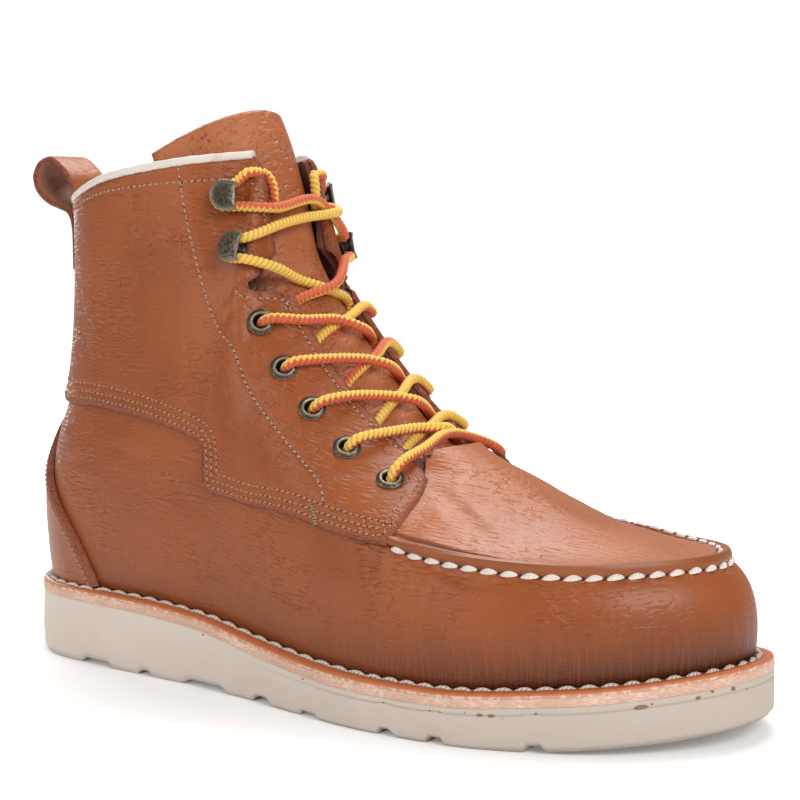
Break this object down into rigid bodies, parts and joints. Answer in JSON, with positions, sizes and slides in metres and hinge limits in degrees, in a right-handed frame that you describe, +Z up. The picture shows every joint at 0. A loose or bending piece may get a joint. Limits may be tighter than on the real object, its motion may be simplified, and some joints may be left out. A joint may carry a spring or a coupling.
{
  "type": "moc toe work boot",
  "caption": "Ankle-high lace-up work boot with a raised moc toe seam, side quarters, eyelets and hooks, a pull loop and a pale wedge sole.",
  "frame": {"origin": "middle of the boot's box, on the floor plane under the sole", "axes": "+X from heel to toe, +Y towards the inner side of the foot, +Z up"},
  "size_m": [0.3152, 0.1154, 0.2095],
  "materials": {
    "outsole": "matt pale rubber",
    "midsole": "fibrous cut edge",
    "welt": "waxed",
    "insole": "plain",
    "leather": "oiled, pebbled grain",
    "tongue": "soft, heavy grain",
    "collar_binding": "folded strip",
    "fastener": "aged dark brass",
    "lace": "round braid in two colours"
  },
  "bodies": {
    "root": {"outsole": "outsole", "midsole": "midsole", "welt": "welt", "insole": "insole", "upper": "leather", "apron": "leather", "quarter_lateral": "leather", "quarter_medial": "leather", "backstay": "leather", "tongue": "tongue", "collar_binding": "collar_binding", "pull_loop": "leather", "eyelet_lateral_1": "fastener", "eyelet_lateral_2": "fastener", "eyelet_lateral_3": "fastener", "eyelet_lateral_4": "fastener", "eyelet_lateral_5": "fastener", "eyelet_medial_1": "fastener", "eyelet_medial_2": "fastener", "eyelet_medial_3": "fastener", "eyelet_medial_4": "fastener", "eyelet_medial_5": "fastener", "hook_lateral_1": "fastener", "hook_lateral_2": "fastener", "hook_medial_1": "fastener", "hook_medial_2": "fastener", "lace_bar": "lace", "lace_cross_1": "lace", "lace_cross_2": "lace", "lace_cross_3": "lace", "lace_cross_4": "lace", "lace_cross_5": "lace", "lace_cross_6": "lace", "lace_end_lateral": "lace", "lace_end_medial": "lace"}
  },
  "joints": []
}
